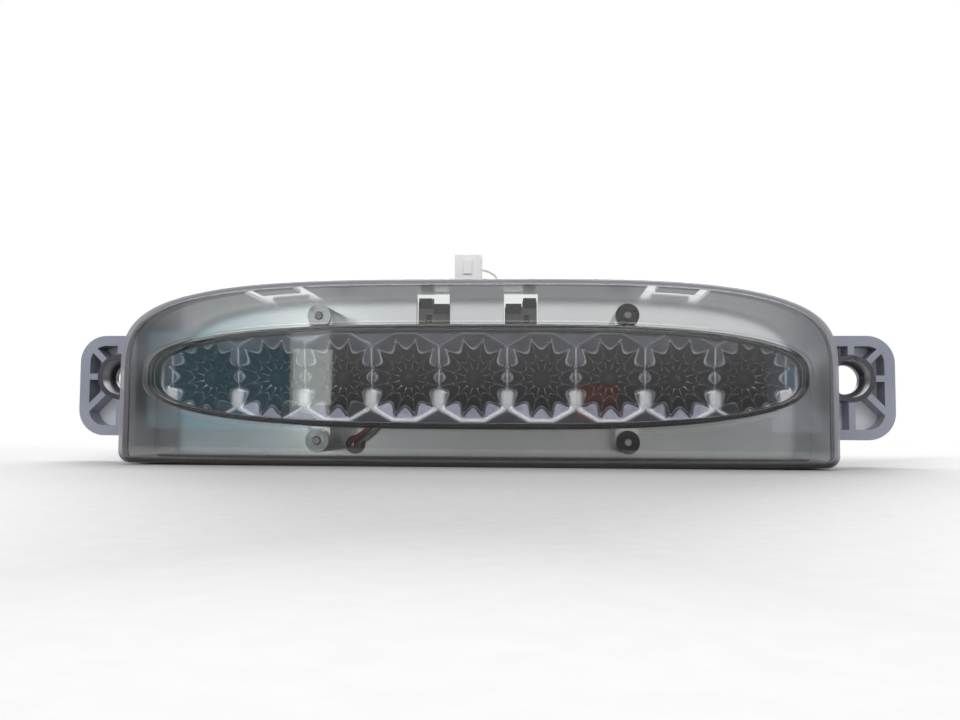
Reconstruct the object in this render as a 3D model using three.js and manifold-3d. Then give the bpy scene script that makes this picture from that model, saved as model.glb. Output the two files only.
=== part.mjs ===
// High-mounted third brake light: a smoke lens over a metallised tray, nine light-emitting
// diodes in a scalloped reflector, a rear chamber with the supply lead, and two screw ears.
//
// Millimetres, +Z up.  X runs across the lamp, Y from the lens towards the vehicle.
// The design below measures depth from the front of the lens window and height from the
// lamp's foot.  The finished part is moved so that its origin is half-way between the two
// ear screws, on the plane of the ears' back faces.
import * as THREE from 'three';
import { mergeVertices } from 'three/addons/utils/BufferGeometryUtils.js';
import Module from 'manifold-3d';

const wasm = await Module();
wasm.setup();

// ---------------------------------------------------------------- driving dimensions
const gap = 0.3; // clearance between pieces that touch
const cutMargin = 1; // how far a cutter runs past the face that it opens

// Front outline
const lampHalfWidth = 118.3;
const lampTop = 61.5;
const shoulderBase = 28; // height where the straight sides end
const shoulderPower = 3.65;
const footCrown = 0.6; // the foot bows down by this much in the middle
const footCornerRadius = 4;
const outlineSteps = 60;

// Lens
const rimRadius = 2.4;
const lensThickness = 2;
const lensFace = 2; // depth of the flat face behind the window's front
const lensSkirtEnd = 5.4;
const windowHalfWidth = lampHalfWidth - 8.8;
const windowHalfHeight = 17.5;
const windowCentre = 29.3;
const windowPower = 2.95;
const windowSteps = 80;
const windowChamfer = 0.8;
const beadThickness = 0.6;
const beadInset = 0.3;

// Tray
const trayWall = 1.2;
const sideWallExtra = 1.2; // the side walls are thicker than the top and foot by this
const floorFront = 28.8;
const floorThickness = 2.5;
const wellWall = 1.1;
const wellInset = 0.3; // the well's wall lies this far inside the window's outline
const wellFront = 4.6;
const floorOpeningHalfWidth = windowHalfWidth - 9.5;
const floorOpeningHalfHeight = windowHalfHeight - 2.9;
const postX = 51.1;
const postHeights = [
  windowCentre - windowHalfHeight - 4,
  windowCentre + windowHalfHeight + 2.5,
];
const postRadius = 3.9;
const pilotRadius = 1.45;
const pinRadius = pilotRadius - gap;
const pinLength = 3.4;
const tongueX = [62, 75.3]; // sides of each snap tongue in the top wall
const tongueGap = 3.8;
const tongueEnd = floorFront - 6.3;
const tongueRoot = 8.5;
const clipWindowX = [9.5, 21.5];
const clipWindowZ = [windowCentre + windowHalfHeight - 0.8, lampTop - 1.6];

// Ears
const earHalfSpan = lampHalfWidth + 26.7;
const earInnerX = lampHalfWidth - 12.3;
const earZ = [8.8, 45];
const earFront = floorFront + 1.9;
const mountPlane = floorFront + 13.2;
const earCornerRadius = 9.5;
const earRim = 3.6;
const earFloor = 2.8;
const pocketStart = lampHalfWidth + 1.3;
const screwX = lampHalfWidth + 11.9;
const screwZ = 30.1;
const screwHoleRadius = 5.2;
const counterboreRadius = 6.5;
const tubeRadius = 8.2;
const ribThickness = 2.2;

// Light engine
const diodeCount = 9;
const diodeEndInset = 17.5; // the last diode stands this far in from the window's end
const diodePitch = 2 * (windowHalfWidth - diodeEndInset) / (diodeCount - 1);
const cupMouthRadius = 10.9;
const cupFloorRadius = 4.2;
const cupHoleRadius = 3.4;
const reflectorFront = 6.2;
const cupFront = 11.2;
const cupBack = floorFront - 7.4;
const reflectorRim = 1.2;
const reflectorWall = 1.2;
const footRadius = 1.6;
const footX = 2.5 * diodePitch;
const footDz = windowHalfHeight - 8;
const boardHalfLength = windowHalfWidth - 13.9;
const boardHalfHeight = windowHalfHeight - 3.3;
const boardThickness = 1.6;
const diodeRadius = 2.5;
const diodeFlangeRadius = 2.9;
const diodeLength = 8.6;
const diodeStandOff = 5.4;
const leadPitch = 2.54;
const leadSide = 0.5;
const resistorX = [-2 * diodePitch, 0, 2 * diodePitch];
const resistorHeight = 22;
const rectifierX = -62;
const rectifierHeight = 33;

// Rear cover
const coverHalfWidth = windowHalfWidth - 6.5;
const coverHalfHeight = windowHalfHeight - 0.5;
const coverCornerRadius = 10;
const coverWall = 1.8;
const coverBack = floorFront + 17.2;
const lugRadius = 4.5;
const lugThickness = 2.2;
const lugHoleRadius = 1.7;
const screwShankRadius = pilotRadius - gap;
const screwReach = 14; // how far the screws run forward of the tray floor's back
const screwHeadRadius = 2.9;
const screwHeadHeight = 2.2;
const tabThickness = 2;
const tabStepX = 16;
// Tops of the inner and outer half of each clip tab
const tabHeights = [lampTop - 6.1, lampTop - 4.1];
const clipStrip = 0.8;

// Connector and lead
const connectorX = -4;
const connectorWidth = 9.6;
const connectorDepthRange = [floorFront + 8.8, floorFront + 16.2];
const connectorZ = [lampTop + 0.3, lampTop + 13.9];
const connectorWall = 1.1;
const mouthDepth = 7.4;
const bladeSpacing = 4;
const bladeSize = [1.6, 0.7, 3.2];
const forkLegWidth = 1.6;
const wireRadius = 0.8;
const wireSides = 8;
const grommetX = -42.8;
const grommetZ = windowCentre - windowHalfHeight - 5.6;
const grommetRadius = 2.9;
const grommetFlangeRadius = 3.3;
const grommetFlange = 1.1;
const wirePitch = 2.6; // between the two wires in the grommet
const wireNotchDepth = 3.9;

// ---------------------------------------------------------------- sizes that follow
const lensInner = lensFace + lensThickness;
const trayFront = lensSkirtEnd + beadThickness + 2 * gap;
const floorBack = floorFront + floorThickness;
const wellHalfHeight = windowHalfHeight - wellInset;
const reflectorInset = wellInset + wellWall + gap;
const postFront = lensInner + gap;
const boardFront = floorBack + gap;
const boardBack = boardFront + boardThickness;
const coverFront = floorBack + gap;
const lugBack = coverFront + lugThickness;
const coverBottom = windowCentre - coverHalfHeight;
const coverTop = windowCentre + coverHalfHeight;
const diodeBase = boardFront - diodeStandOff;
const connectorY = (connectorDepthRange[0] + connectorDepthRange[1]) / 2;
const bothSides = [-1, 1];

// ---------------------------------------------------------------- solids
function solid(geometry) {
  const bare = geometry.clone();
  bare.deleteAttribute('normal');
  bare.deleteAttribute('uv');
  const merged = mergeVertices(bare, 1e-4);
  return new wasm.Manifold(new wasm.Mesh({
    numProp: 3,
    vertProperties: new Float32Array(merged.attributes.position.array),
    triVerts: new Uint32Array(merged.index.array),
  }));
}

function join(...pieces) {
  return pieces.reduce((whole, piece) => whole.add(piece));
}

function cut(body, ...cutters) {
  return cutters.reduce((whole, cutter) => whole.subtract(cutter), body);
}

// A box between two opposite corners.
function box(x, y, z) {
  const geometry = new THREE.BoxGeometry(x[1] - x[0], y[1] - y[0], z[1] - z[0]);
  geometry.translate((x[0] + x[1]) / 2, (y[0] + y[1]) / 2, (z[0] + z[1]) / 2);
  return solid(geometry);
}

// The same box on one side of the lamp: side is -1 or 1 and x is given for the right side.
function sideBox(side, x, y, z) {
  const ordered = x.map((value) => side * value).sort((a, b) => a - b);
  return box(ordered, y, z);
}

// A round bar along the depth direction.
function bar(radius, x, depth, z, sides = 20) {
  const geometry = new THREE.CylinderGeometry(radius, radius, depth[1] - depth[0], sides);
  geometry.translate(x, (depth[0] + depth[1]) / 2, z);
  return solid(geometry);
}

// An outline in X and Z, carried from one depth to another.
function prism(shape, front, back) {
  const geometry = new THREE.ExtrudeGeometry(shape, { depth: back - front, bevelEnabled: false });
  geometry.rotateX(Math.PI / 2);
  geometry.translate(0, back, 0);
  return solid(geometry);
}

// The same with a rounded or chamfered edge of the given size round its front.
function softPrism(shape, front, back, edge, segments) {
  const geometry = new THREE.ExtrudeGeometry(shape, {
    depth: back - front,
    bevelThickness: edge,
    bevelSize: edge,
    bevelOffset: -edge,
    bevelSegments: segments,
  });
  geometry.rotateX(Math.PI / 2);
  geometry.translate(0, back + edge, 0);
  return solid(geometry);
}

// A profile of [radius, depth] pairs turned about an axis along the depth direction.
function turned(profile, x, z, sides) {
  const points = profile.map(([radius, depth]) => new THREE.Vector2(radius, depth));
  const geometry = new THREE.LatheGeometry(points, sides);
  geometry.translate(x, 0, z);
  return solid(geometry);
}

// ---------------------------------------------------------------- outlines
// Sides and foot are straight but for the foot's crown; the top is half a superellipse.
function lampOutline(inset, sideExtra = 0) {
  const halfWidth = lampHalfWidth - inset - sideExtra;
  const rise = lampTop - shoulderBase - inset;
  const corner = Math.max(footCornerRadius - inset, 0.5);
  const points = [];
  for (let i = 0; i <= outlineSteps; i += 1) {
    const angle = Math.PI * i / outlineSteps;
    const across = Math.sign(Math.cos(angle)) * Math.abs(Math.cos(angle)) ** (2 / shoulderPower);
    const up = Math.abs(Math.sin(angle)) ** (2 / shoulderPower);
    points.push(new THREE.Vector2(halfWidth * across, shoulderBase + rise * up));
  }
  const cornerX = halfWidth - corner;
  for (const side of bothSides) {
    const turn = side < 0 ? [2, 3] : [3, 4];
    for (let i = 0; i <= 4; i += 1) {
      const angle = (turn[0] + i / 4) * Math.PI / 2;
      const x = side * cornerX + corner * Math.cos(angle);
      points.push(new THREE.Vector2(x, inset + corner + corner * Math.sin(angle)));
    }
    if (side < 0) {
      for (const share of [-0.75, -0.5, -0.25, 0, 0.25, 0.5, 0.75]) {
        points.push(new THREE.Vector2(share * cornerX, inset - footCrown * (1 - share ** 2)));
      }
    }
  }
  return new THREE.Shape(points);
}

// What the lens skirt and the tray's walls leave open inside the outline.
function trayCavity() {
  return lampOutline(trayWall, sideWallExtra);
}

function superellipse(halfWidth, halfHeight, steps = windowSteps) {
  const points = [];
  for (let i = 0; i < steps; i += 1) {
    const angle = 2 * Math.PI * i / steps;
    const across = Math.sign(Math.cos(angle)) * Math.abs(Math.cos(angle)) ** (2 / windowPower);
    const up = Math.sign(Math.sin(angle)) * Math.abs(Math.sin(angle)) ** (2 / windowPower);
    points.push(new THREE.Vector2(halfWidth * across, windowCentre + halfHeight * up));
  }
  return new THREE.Shape(points);
}

function windowOutline(inset) {
  return superellipse(windowHalfWidth - inset, windowHalfHeight - inset);
}

function roundedRectangle(x, z, radius) {
  const shape = new THREE.Shape();
  shape.absarc(x[1] - radius, z[1] - radius, radius, 0, Math.PI / 2);
  shape.absarc(x[0] + radius, z[1] - radius, radius, Math.PI / 2, Math.PI);
  shape.absarc(x[0] + radius, z[0] + radius, radius, Math.PI, 3 * Math.PI / 2);
  shape.absarc(x[1] - radius, z[0] + radius, radius, 3 * Math.PI / 2, 2 * Math.PI);
  return new THREE.Shape(shape.getPoints(5));
}

// ---------------------------------------------------------------- materials
function finish(color, roughness, metalness, opacity = 1) {
  return new THREE.MeshStandardMaterial({
    color, roughness, metalness, opacity, transparent: opacity < 1,
  });
}

const smoke = finish(0x6f7277, 0.08, 0, 0.45);
const metallised = finish(0xaab0b2, 0.14, 1);
const mirror = finish(0xc4c8cc, 0.06, 1);
const clearResin = finish(0xe8ecec, 0.05, 0, 0.6);
const boardGreen = finish(0x1d3b28, 0.5, 0);
const resistorBody = finish(0xb79a6a, 0.5, 0);
const rectifierBody = finish(0x1c1c1e, 0.4, 0);
const greyPlastic = finish(0x77726f, 0.55, 0);
const steel = finish(0x8c8e90, 0.35, 1);
const springSteel = finish(0x3a3733, 0.3, 1);
const blackRubber = finish(0x171717, 0.8, 0);
const adhesive = finish(0x2b2b2c, 0.7, 0);
const redSheath = finish(0xa01d22, 0.4, 0);
const whiteSheath = finish(0xe9e7e0, 0.4, 0);
const whiteNylon = finish(0xf0eee8, 0.35, 0);
const brass = finish(0xb08d4a, 0.3, 1);

const lamp = new THREE.Group();
const design = new THREE.Group();
design.position.set(0, -mountPlane, -screwZ);
lamp.add(design);

function place(name, body, material) {
  const { vertProperties, triVerts } = body.getMesh();
  const geometry = new THREE.BufferGeometry();
  geometry.setAttribute('position', new THREE.BufferAttribute(vertProperties, 3));
  geometry.setIndex(new THREE.BufferAttribute(triVerts, 1));
  geometry.computeVertexNormals();
  const mesh = new THREE.Mesh(geometry, material);
  mesh.name = name;
  design.add(mesh);
}

// ---------------------------------------------------------------- lens and bead
// Four pins on the lens drop into the mouths of the tray's posts and locate it.
function lens() {
  const shell = softPrism(lampOutline(0), lensFace, floorFront, rimRadius, 4);
  const behindSkirt = box(
    [-lampHalfWidth - cutMargin, lampHalfWidth + cutMargin],
    [lensSkirtEnd, floorFront + 2 * rimRadius + cutMargin],
    [-footCrown - cutMargin, lampTop + cutMargin],
  );
  const window = softPrism(windowOutline(0), 0, lensInner, windowChamfer, 1);
  const cavity = prism(trayCavity(), lensInner, lensSkirtEnd + cutMargin);
  const pocket = prism(windowOutline(lensThickness), lensThickness, lensInner + cutMargin);
  const pins = [];
  for (const side of bothSides) {
    for (const height of postHeights) {
      const reach = [lensInner - cutMargin, lensInner + pinLength];
      pins.push(bar(pinRadius, side * postX, reach, height, 12));
    }
  }
  const face = join(cut(shell, behindSkirt), window.intersect(frontSlab()));
  return join(cut(face, cavity, pocket), ...pins);
}

// All space in front of the lens's inner face.
function frontSlab() {
  const reach = lampHalfWidth + cutMargin;
  return box([-reach, reach], [-cutMargin, lensInner], [-cutMargin, lampTop + cutMargin]);
}

function bead() {
  const depth = [lensSkirtEnd + gap, lensSkirtEnd + gap + beadThickness];
  const outer = prism(lampOutline(beadInset), ...depth);
  const innerOutline = lampOutline(trayWall - beadInset, sideWallExtra);
  const inner = prism(innerOutline, depth[0] - cutMargin, depth[1] + cutMargin);
  return cut(outer, inner);
}

// ---------------------------------------------------------------- tray with ears
function ear(side) {
  const spans = [side * earInnerX, side * earHalfSpan].sort((a, b) => a - b);
  const plate = prism(roundedRectangle(spans, earZ, earCornerRadius), earFront, mountPlane);
  const pocketX = [side * (pocketStart - earCornerRadius), side * (earHalfSpan - earRim)];
  const pocketZ = [earZ[0] + earRim, earZ[1] - earRim];
  const pocketShape = roundedRectangle(
    pocketX.sort((a, b) => a - b), pocketZ, earCornerRadius - earRim,
  );
  const pocketDepth = [earFront - cutMargin, mountPlane - earFloor];
  const pocket = cut(
    prism(pocketShape, ...pocketDepth),
    sideBox(side, [0, pocketStart], [0, mountPlane], [0, lampTop]),
    bar(tubeRadius, side * screwX, [0, mountPlane], screwZ, 32),
    ...ribs(side),
  );
  return cut(plate, pocket);
}

// Five ribs run outwards from the screw tube: up, down, straight out and two between.
function ribs(side) {
  const length = earHalfSpan;
  return [-90, -45, 0, 45, 90].map((degrees) => {
    const geometry = new THREE.BoxGeometry(length, mountPlane, ribThickness);
    geometry.translate(length / 2, mountPlane / 2, 0);
    geometry.rotateY(-THREE.MathUtils.degToRad(side > 0 ? degrees : 180 - degrees));
    geometry.translate(side * screwX, 0, screwZ);
    return solid(geometry);
  });
}

function screwBore(side) {
  const x = side * screwX;
  return join(
    bar(screwHoleRadius, x, [earFront - cutMargin, mountPlane + cutMargin], screwZ, 32),
    bar(counterboreRadius, x, [earFront - cutMargin, mountPlane - earFloor], screwZ, 32),
  );
}

// Each post stands against the well's wall on a straight web of its own width.
function post(side, height) {
  const x = side * postX;
  const wallHeight = windowCentre + Math.sign(height - windowCentre) * (wellHalfHeight - wellWall);
  const web = [height, wallHeight].sort((a, b) => a - b);
  const wellEdge = cut(
    box([x - postRadius, x + postRadius], [trayFront, floorBack], web),
    prism(windowOutline(wellInset + wellWall), 0, floorBack + cutMargin),
  );
  return join(bar(postRadius, x, [postFront, floorBack], height, 24), wellEdge);
}

// Two slots and a cross cut leave a tongue that hangs from the top wall's front edge.
function tongueCuts(side) {
  const height = [lampTop - 6, lampTop + cutMargin];
  const [inner, outer] = tongueX;
  return [
    sideBox(side, [inner - tongueGap, inner], [tongueRoot, floorFront], height),
    sideBox(side, [outer, outer + tongueGap], [tongueRoot, floorFront], height),
    sideBox(side, [inner - tongueGap, outer + tongueGap], [tongueEnd, floorFront], height),
  ];
}

function tray() {
  const walls = cut(
    prism(lampOutline(0), trayFront, floorBack),
    prism(trayCavity(), trayFront - cutMargin, floorFront),
  );
  const well = prism(windowOutline(wellInset), wellFront, floorFront);
  const wellBore = prism(windowOutline(wellInset + wellWall), wellFront - cutMargin, floorFront);
  const opening = superellipse(floorOpeningHalfWidth, floorOpeningHalfHeight);
  const posts = [];
  const pilots = [];
  const cuts = [];
  for (const side of bothSides) {
    for (const height of postHeights) {
      posts.push(post(side, height));
      const reach = [postFront - cutMargin, floorBack + cutMargin];
      pilots.push(bar(pilotRadius, side * postX, reach, height, 12));
    }
    cuts.push(...tongueCuts(side));
    cuts.push(sideBox(side, clipWindowX, [floorFront - cutMargin, mountPlane], clipWindowZ));
    cuts.push(screwBore(side));
  }
  const wireNotch = box(
    [grommetX + 2.5, grommetX + 12],
    [floorFront - wireNotchDepth, floorFront],
    [windowCentre - windowHalfHeight - cutMargin, windowCentre - floorOpeningHalfHeight + 1],
  );
  const shell = join(walls, well, ear(-1), ear(1));
  return cut(
    join(cut(shell, wellBore), ...posts),
    prism(opening, floorFront - cutMargin, floorBack + cutMargin),
    bar(grommetRadius + gap, grommetX, [floorFront - cutMargin, floorBack + cutMargin], grommetZ),
    wireNotch,
    ...pilots,
    ...cuts,
  );
}

// ---------------------------------------------------------------- light engine
const diodeX = Array.from(
  { length: diodeCount }, (_, i) => (i - (diodeCount - 1) / 2) * diodePitch,
);

// A moulded shell that drops into the well: an outer skirt, a face plate set back behind
// the rim, one cup for each diode, and feet that stand on the board.
function reflector() {
  const skirt = cut(
    prism(windowOutline(reflectorInset), reflectorFront, cupBack),
    prism(windowOutline(reflectorInset + reflectorRim), reflectorFront - cutMargin,
      cupBack + cutMargin),
  );
  const plate = prism(
    windowOutline(reflectorInset + reflectorRim / 2), cupFront, cupFront + reflectorWall,
  );
  const cupShells = diodeX.map((x) => cup(x, cupFront, cupBack, reflectorWall, 16));
  const cupBores = diodeX.map((x) => (
    cup(x, cupFront - 0.2, cupBack - reflectorWall, 0, 16)
  ));
  const holes = diodeX.map((x) => (
    bar(cupHoleRadius, x, [cupFront, cupBack + cutMargin], windowCentre, 12)
  ));
  const feet = [];
  for (const side of bothSides) {
    for (const dz of [-footDz, footDz]) {
      const reach = [cupFront + reflectorWall / 2, boardFront - gap];
      feet.push(bar(footRadius, side * footX, reach, windowCentre + dz, 10));
    }
  }
  const envelope = prism(windowOutline(reflectorInset), reflectorFront, boardFront);
  return cut(join(skirt, plate, ...cupShells, ...feet).intersect(envelope), ...cupBores, ...holes);
}

// A cone frustum that narrows towards the board; wall grows it all round.
function cup(x, front, back, wall, sides) {
  return turned([
    [0, front],
    [cupMouthRadius + wall, front],
    [cupFloorRadius + wall, back],
    [0, back],
  ], x, windowCentre, sides);
}

function board() {
  const length = [-boardHalfLength, boardHalfLength];
  const height = [windowCentre - boardHalfHeight, windowCentre + boardHalfHeight];
  return prism(roundedRectangle(length, height, 4), boardFront, boardBack);
}

// A domed resin body on a flange, with two square legs down to the board.
function diode(x) {
  const tip = diodeBase - diodeLength;
  const profile = [];
  for (let i = 0; i <= 4; i += 1) {
    const angle = i / 4 * Math.PI / 2;
    profile.push([diodeRadius * Math.sin(angle), tip + diodeRadius * (1 - Math.cos(angle))]);
  }
  profile.push(
    [diodeRadius, diodeBase - 1],
    [diodeFlangeRadius, diodeBase - 1],
    [diodeFlangeRadius, diodeBase],
    [0, diodeBase],
  );
  const legs = bothSides.map((side) => {
    const legX = x + side * leadPitch / 2;
    return box(
      [legX - leadSide / 2, legX + leadSide / 2],
      [diodeBase - 0.5, boardFront - gap],
      [windowCentre - leadSide / 2, windowCentre + leadSide / 2],
    );
  });
  return join(turned(profile, x, windowCentre, 12), ...legs);
}

// An axial component: a barrel lying across the board's back on two bent legs.
function axialPart(x, z, barrelRadius, barrelLength) {
  const centre = boardBack + gap + barrelRadius + 0.4;
  const barrel = new THREE.CylinderGeometry(barrelRadius, barrelRadius, barrelLength, 14);
  barrel.rotateZ(Math.PI / 2);
  barrel.translate(x, centre, z);
  const reach = barrelLength / 2 + 2;
  const span = new THREE.BoxGeometry(2 * reach, leadSide, leadSide);
  span.translate(x, centre, z);
  const legs = bothSides.map((side) => box(
    [x + side * reach - leadSide / 2, x + side * reach + leadSide / 2],
    [boardBack + gap, centre + leadSide / 2],
    [z - leadSide / 2, z + leadSide / 2],
  ));
  return join(solid(barrel), solid(span), ...legs);
}

// ---------------------------------------------------------------- rear cover and screws
function lug(side, height) {
  const x = side * postX;
  const edge = height > windowCentre ? coverTop - coverWall : coverBottom + coverWall;
  const depth = [coverFront, lugBack];
  const neck = [height, edge].sort((a, b) => a - b);
  return join(
    bar(lugRadius, x, depth, height, 24),
    box([x - lugRadius, x + lugRadius], depth, neck),
  );
}

// Tabs that carry the spring clips: the inner half of each is lower than the outer half.
function clipTab(side) {
  const [inner, outer] = clipWindowX;
  const depth = [coverFront, coverFront + tabThickness];
  const foot = coverTop - coverWall;
  return join(
    sideBox(side, [inner + gap, tabStepX + cutMargin], depth, [foot, tabHeights[0]]),
    sideBox(side, [tabStepX, outer - gap], depth, [foot, tabHeights[1]]),
  );
}

function tabSlot(side) {
  const depth = [coverFront - cutMargin, coverFront + tabThickness + cutMargin];
  return sideBox(side, [tabStepX + 0.4, tabStepX + 2.6], depth, [coverTop + 3.4, coverTop + 6.3]);
}

// A fork on the chamber's top holds the connector by its flanks.
function connectorFork() {
  const halfWidth = connectorWidth / 2 + gap;
  const depth = [connectorDepthRange[0] + 1, connectorDepthRange[1] - 1];
  const legs = bothSides.map((side) => {
    const x = [connectorX + side * halfWidth, connectorX + side * (halfWidth + forkLegWidth)];
    return box(x.sort((a, b) => a - b), depth, [coverTop - coverWall, connectorZ[0] + 5]);
  });
  const ledges = bothSides.map((side) => {
    const x = [connectorX + side * (halfWidth - 1.6), connectorX + side * (halfWidth + 0.2)];
    const height = [connectorZ[0] - gap - 1.4, connectorZ[0] - gap];
    return box(x.sort((a, b) => a - b), depth, height);
  });
  return join(...legs, ...ledges);
}

// Hooks moulded on the chamber's back keep the pair of wires against it.
function leadHook(x, z) {
  const near = coverBack - coverWall / 2;
  const far = coverBack + 2 * wireRadius + 2 * gap;
  const halfPair = wirePitch / 2 + wireRadius + gap;
  return join(
    box([x - halfPair - 1.2, x - halfPair], [near, far + 1.2], [z - 1.5, z + 1.5]),
    box([x - halfPair - 1.2, x + halfPair - 1], [far, far + 1.2], [z - 1.5, z + 1.5]),
  );
}

function rearCover() {
  const outerX = [-coverHalfWidth, coverHalfWidth];
  const innerX = [coverWall - coverHalfWidth, coverHalfWidth - coverWall];
  const outer = roundedRectangle(outerX, [coverBottom, coverTop], coverCornerRadius);
  const inner = roundedRectangle(
    innerX, [coverBottom + coverWall, coverTop - coverWall], coverCornerRadius - coverWall,
  );
  const lugs = [];
  const holes = [];
  for (const side of bothSides) {
    for (const height of postHeights) {
      lugs.push(lug(side, height));
      const reach = [coverFront - cutMargin, lugBack + cutMargin];
      holes.push(bar(lugHoleRadius, side * postX, reach, height, 14));
    }
  }
  const body = join(
    prism(outer, coverFront, coverBack), ...lugs, clipTab(-1), clipTab(1),
    connectorFork(),
  );
  const hollow = prism(inner, coverFront - cutMargin, coverBack - coverWall);
  const hooks = hookPlaces.map(([x, z]) => leadHook(x, z));
  return join(cut(body, hollow, tabSlot(-1), tabSlot(1), ...holes), ...hooks);
}

// A pan head with a cross recess on a plain shank.
function coverScrew(side, height) {
  const x = side * postX;
  const seat = lugBack + gap;
  const top = seat + screwHeadHeight;
  const shape = turned([
    [0, floorBack - screwReach],
    [screwShankRadius, floorBack - screwReach + 1.5],
    [screwShankRadius, seat],
    [screwHeadRadius, seat],
    [screwHeadRadius, top - 0.8],
    [screwHeadRadius - 0.8, top],
    [0, top],
  ], x, height, 16);
  const arm = 1.5;
  const slot = 0.35;
  return cut(
    shape,
    box([x - arm, x + arm], [top - 1, top + cutMargin], [height - slot, height + slot]),
    box([x - slot, x + slot], [top - 1, top + cutMargin], [height - arm, height + arm]),
  );
}

// ---------------------------------------------------------------- spring clips
// A strip folded over both halves of the tab, with a bowed arm behind that grips the body.
function springClip(side) {
  const [inner, outer] = clipWindowX;
  const front = coverFront - gap - clipStrip;
  const rear = coverFront + tabThickness + gap;
  const halves = [
    { x: [inner + 2 * gap, tabStepX - gap], top: tabHeights[0] + gap, drop: 2.8 },
    { x: [tabStepX + gap, outer - 2 * gap], top: tabHeights[1] + gap, drop: 2.8 },
  ];
  const folds = halves.map(({ x, top, drop }) => join(
    sideBox(side, x, [front, coverFront - gap], [top - drop, top + clipStrip]),
    sideBox(side, x, [front, rear + clipStrip], [top, top + clipStrip]),
    sideBox(side, x, [rear, rear + clipStrip], [coverTop + 1, top + clipStrip]),
  ));
  const width = [inner + 2 * gap, outer - 2 * gap];
  const spine = sideBox(side, width, [rear, rear + clipStrip], [coverTop + 1, tabHeights[0]]);
  return join(...folds, spine, bowedArm(side, halves[1].x, rear));
}

// The arm's centre line is a half sine from the spine's foot to its free end.
function bowedArm(side, width, rear) {
  const foot = coverTop + 1 + clipStrip / 2;
  const bow = 5.2;
  const height = 11.5;
  const steps = 8;
  const near = [];
  const far = [];
  for (let i = 0; i <= steps; i += 1) {
    const t = i / steps;
    const depth = rear + clipStrip / 2 + bow * Math.sin(0.8 * Math.PI * t);
    near.push(new THREE.Vector2(depth - clipStrip / 2, foot + height * t));
    far.push(new THREE.Vector2(depth + clipStrip / 2, foot + height * t));
  }
  const strip = new THREE.ExtrudeGeometry(new THREE.Shape([...far, ...near.reverse()]), {
    depth: width[1] - width[0],
    bevelEnabled: false,
  });
  // The strip is drawn in depth and height, so its own axes are turned to the lamp's.
  strip.rotateX(Math.PI / 2);
  strip.rotateZ(Math.PI / 2);
  strip.translate(side > 0 ? width[0] : -width[1], 0, 0);
  return solid(strip);
}

// ---------------------------------------------------------------- connector and lead
function connector() {
  const halfWidth = connectorWidth / 2;
  const x = [connectorX - halfWidth, connectorX + halfWidth];
  const innerX = [x[0] + connectorWall, x[1] - connectorWall];
  const innerY = [
    connectorDepthRange[0] + connectorWall, connectorDepthRange[1] - connectorWall,
  ];
  const mouth = box(innerX, innerY, [connectorZ[1] - mouthDepth, connectorZ[1] + cutMargin]);
  const latch = box(
    [connectorX - 1.5, connectorX + 1.5],
    [connectorDepthRange[0] - 1, connectorDepthRange[0] + 0.5],
    [connectorZ[0] + 6.5, connectorZ[1] - 2],
  );
  const wireHoles = bladeX.map((holeX) => {
    const geometry = new THREE.CylinderGeometry(
      wireRadius + gap, wireRadius + gap, connectorZ[1] - connectorZ[0], 12,
    );
    geometry.rotateX(Math.PI / 2);
    geometry.translate(holeX, connectorY, (connectorZ[0] + connectorZ[1]) / 2);
    return solid(geometry);
  });
  const body = join(box(x, connectorDepthRange, connectorZ), latch);
  return cut(body, mouth, ...wireHoles);
}

const bladeX = [connectorX - bladeSpacing / 2, connectorX + bladeSpacing / 2];
const bladeFoot = connectorZ[1] - mouthDepth - 1.6;

function blade(x) {
  const [width, thickness, height] = bladeSize;
  return box(
    [x - width / 2, x + width / 2],
    [connectorY - thickness / 2, connectorY + thickness / 2],
    [bladeFoot, bladeFoot + height],
  );
}

function wire(points, steps) {
  const path = new THREE.CatmullRomCurve3(points.map((point) => new THREE.Vector3(...point)));
  const section = new THREE.Shape();
  section.absarc(0, 0, wireRadius, 0, 2 * Math.PI);
  const round = new THREE.Shape(section.getPoints(wireSides).slice(0, wireSides));
  return solid(new THREE.ExtrudeGeometry(round, { steps, extrudePath: path, bevelEnabled: false }));
}

const wireBehindCover = coverBack + gap + wireRadius;
const wireX = [grommetX - wirePitch / 2, grommetX + wirePitch / 2];
const hookPlaces = [[-17, 38.5], [-40, 15.5]];

// Centre line of the pair of wires on the chamber's back, as [x, z]; each wire lies half a
// pitch to one side of it.
const pairRoute = [
  [-17, 43], [-17, 38.5], [-17.4, 34], [-20.4, 29.6], [-25.5, 26.6],
  [-31.5, 24.2], [-36.6, 21.2], [-39.4, 17.6], [-40, 13.6],
];

function besidePair(offset) {
  return pairRoute.map(([x, z], i) => {
    const before = pairRoute[Math.max(i - 1, 0)];
    const after = pairRoute[Math.min(i + 1, pairRoute.length - 1)];
    const run = Math.hypot(after[0] - before[0], after[1] - before[1]);
    const normal = [(before[1] - after[1]) / run, (after[0] - before[0]) / run];
    return [x + offset * normal[0], wireBehindCover, z + offset * normal[1]];
  });
}

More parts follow.
